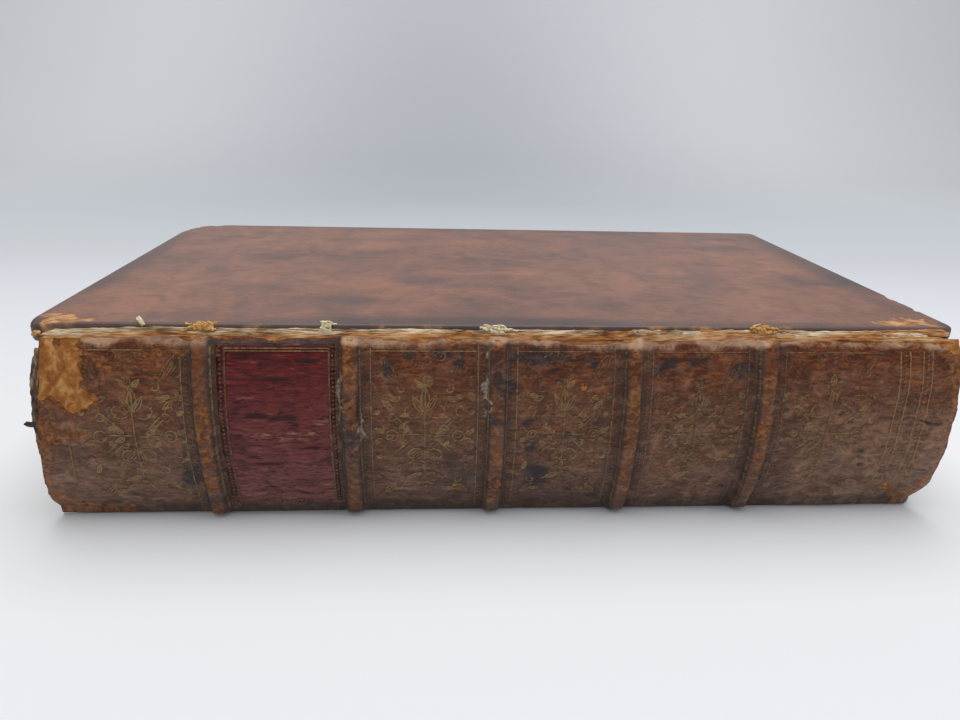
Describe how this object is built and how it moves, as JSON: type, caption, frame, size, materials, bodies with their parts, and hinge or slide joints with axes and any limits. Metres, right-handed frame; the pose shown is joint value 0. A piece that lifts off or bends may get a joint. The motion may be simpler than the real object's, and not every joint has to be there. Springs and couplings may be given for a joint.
{
  "type": "antique leather book",
  "caption": "Old calf-bound octavo with a rounded back, raised bands, a red title label, laced boards that open at both joints, and worn, cracked leather.",
  "frame": {"origin": "middle of the lower cover's outer face, on the surface the book lies on", "axes": "+X along the back from head to tail, +Y from the back to the fore-edge, +Z from the lower board to the upper board"},
  "size_m": [0.214, 0.1236, 0.0482],
  "materials": {
    "calf": "worn, polished by handling",
    "morocco_label": "worn straight-grain",
    "pasteboard": "matte, laminated",
    "page_paper": "aged, matte",
    "endpaper": "aged, matte",
    "endband_thread": "sewn thread",
    "cord": "twisted hemp"
  },
  "bodies": {
    "lower_cover": {"lower_board": "pasteboard", "lower_leather": "calf", "lower_pastedown": "endpaper", "lower_slip_1": "cord", "lower_slip_3": "cord", "lower_slip_5": "cord"},
    "book_block": {"text_block": "page_paper", "front_flyleaf": "endpaper", "rear_flyleaf": "endpaper", "spine_leather": "calf", "title_label": "morocco_label", "sewing_cord_1": "cord", "sewing_cord_2": "cord", "sewing_cord_3": "cord", "sewing_cord_4": "cord", "sewing_cord_5": "cord", "head_endband": "endband_thread", "tail_endband": "endband_thread"},
    "upper_cover": {"upper_board": "pasteboard", "upper_leather": "calf", "upper_pastedown": "endpaper", "upper_slip_1": "cord", "upper_slip_3": "cord", "upper_slip_5": "cord"}
  },
  "joints": [
    {"name": "lower_joint", "type": "hinge", "parent": "lower_cover", "child": "book_block", "pos_m": [0, -0.058, 0], "axis": [1, 0, 0], "range_deg": [0, 90]},
    {"name": "upper_joint", "type": "hinge", "parent": "book_block", "child": "upper_cover", "pos_m": [-0.0013, -0.058, 0.0482], "axis": [1, 0, 0], "range_deg": [0, 180]}
  ]
}
